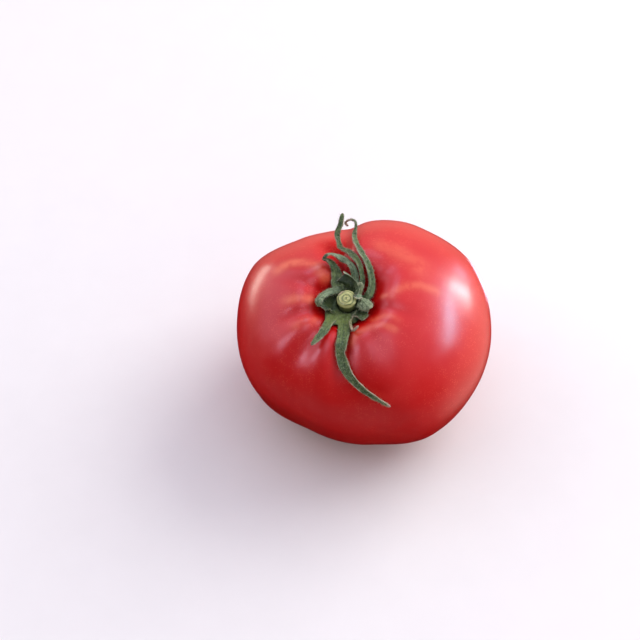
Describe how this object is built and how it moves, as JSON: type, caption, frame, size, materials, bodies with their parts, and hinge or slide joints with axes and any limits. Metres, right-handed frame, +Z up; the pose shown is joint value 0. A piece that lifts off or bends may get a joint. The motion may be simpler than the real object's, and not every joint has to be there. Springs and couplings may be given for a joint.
{
  "type": "pink tomato",
  "caption": "Whole ripe pink beefsteak tomato, oblate and ribbed at the shoulders, with a twisted green calyx and a short cut stem stub.",
  "frame": {"origin": "centre of the small flat spot near the blossom end that the fruit rests on", "axes": "+Z up, away from the surface it rests on; +X towards the broad lobes on the right of the stem end; -Y towards the side that the stem end leans to"},
  "size_m": [0.093, 0.0868, 0.0684],
  "materials": {
    "skin": "satin",
    "sepal": "matte",
    "stem": "matte"
  },
  "bodies": {
    "root": {"fruit": "skin", "calyx": "sepal", "stem_stub": "stem"}
  },
  "joints": []
}
